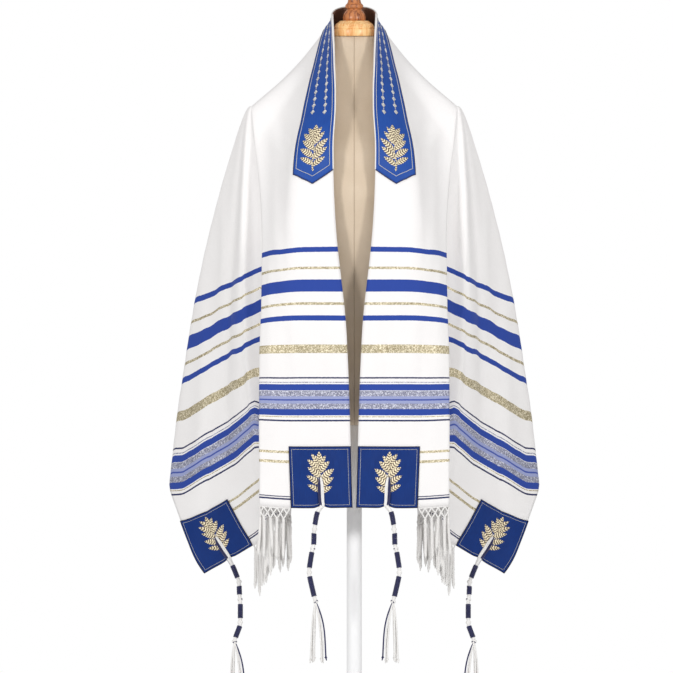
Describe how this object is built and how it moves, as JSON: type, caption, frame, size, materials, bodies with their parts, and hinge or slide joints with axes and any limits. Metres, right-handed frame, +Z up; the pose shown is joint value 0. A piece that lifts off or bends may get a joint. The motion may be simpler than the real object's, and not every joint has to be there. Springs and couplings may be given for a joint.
{
  "type": "tallit prayer shawl on a dress form",
  "caption": "White fringed prayer shawl with blue and gold stripes, satin neckband, corner patches and knotted tassels, draped on a limbless dress form with a turned wooden finial.",
  "frame": {"origin": "centre of the stand's base plate, on the floor", "axes": "+Z up; -Y is the wearer's front, which faces the picture; +X is the wearer's left"},
  "size_m": [0.6032, 0.36, 1.5146],
  "materials": {
    "white_cloth": "matt woven wool with woven stripes",
    "blue_satin": "satin",
    "white_cord": "matt twisted yarn",
    "tassel_cord": "matt twisted cord",
    "linen": "matt linen over a moulded form",
    "light_wood": "satin varnish",
    "brown_wood": "satin varnish",
    "white_paint": "satin paint"
  },
  "bodies": {
    "root": {"shawl_cloth": "white_cloth", "neckband": "blue_satin", "inner_patch_left": "blue_satin", "inner_patch_right": "blue_satin", "outer_patch_left": "blue_satin", "outer_patch_right": "blue_satin", "hem_fringe_left": "white_cord", "hem_fringe_right": "white_cord", "inner_tassel_left": "tassel_cord", "inner_tassel_right": "tassel_cord", "outer_tassel_left": "tassel_cord", "outer_tassel_right": "tassel_cord", "torso_form": "linen", "neck_cap": "light_wood", "finial": "brown_wood", "stand_pole": "white_paint", "base_plate": "white_paint"}
  },
  "joints": []
}
